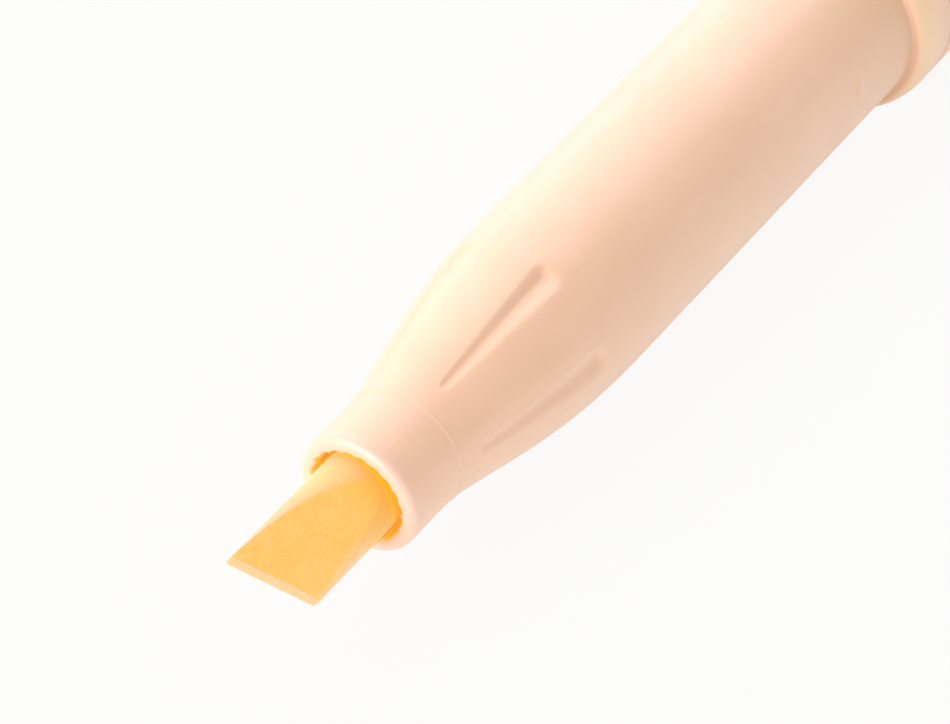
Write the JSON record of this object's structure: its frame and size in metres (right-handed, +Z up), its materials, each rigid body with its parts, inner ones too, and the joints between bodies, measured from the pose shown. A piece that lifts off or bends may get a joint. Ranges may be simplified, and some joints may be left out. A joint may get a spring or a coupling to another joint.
{
  "type": "erasable highlighter",
  "caption": "Slim felt-tip highlighter with a slanted chisel nib, fluted nose, clip cap posted on the tail and friction eraser in the cap's end.",
  "frame": {"origin": "under the middle of the pen, on the surface it lies on", "axes": "+X along the pen from the nib to the posted cap's eraser, +Z up from the surface"},
  "size_m": [0.1674, 0.0142, 0.0113],
  "materials": {
    "nib_felt": "ink-soaked felt",
    "body_plastic": "satin gloss",
    "cap_plastic": "satin gloss",
    "liner_plastic": "natural, milky",
    "eraser_rubber": "smooth, milky",
    "reservoir_fibre": "ink-soaked fibre",
    "reservoir_wrap": "thin film"
  },
  "bodies": {
    "barrel": {"nib": "nib_felt", "front_section": "body_plastic", "barrel_tube": "body_plastic", "reservoir_core": "reservoir_fibre", "reservoir_film": "reservoir_wrap", "tail_plug": "body_plastic"},
    "cap": {"cap_shell": "cap_plastic", "inner_cap": "liner_plastic", "eraser": "eraser_rubber"}
  },
  "joints": [
    {"name": "cap_slide", "type": "slide", "parent": "barrel", "child": "cap", "axis": [1, 0, 0], "range_m": [0, 0.03]}
  ]
}
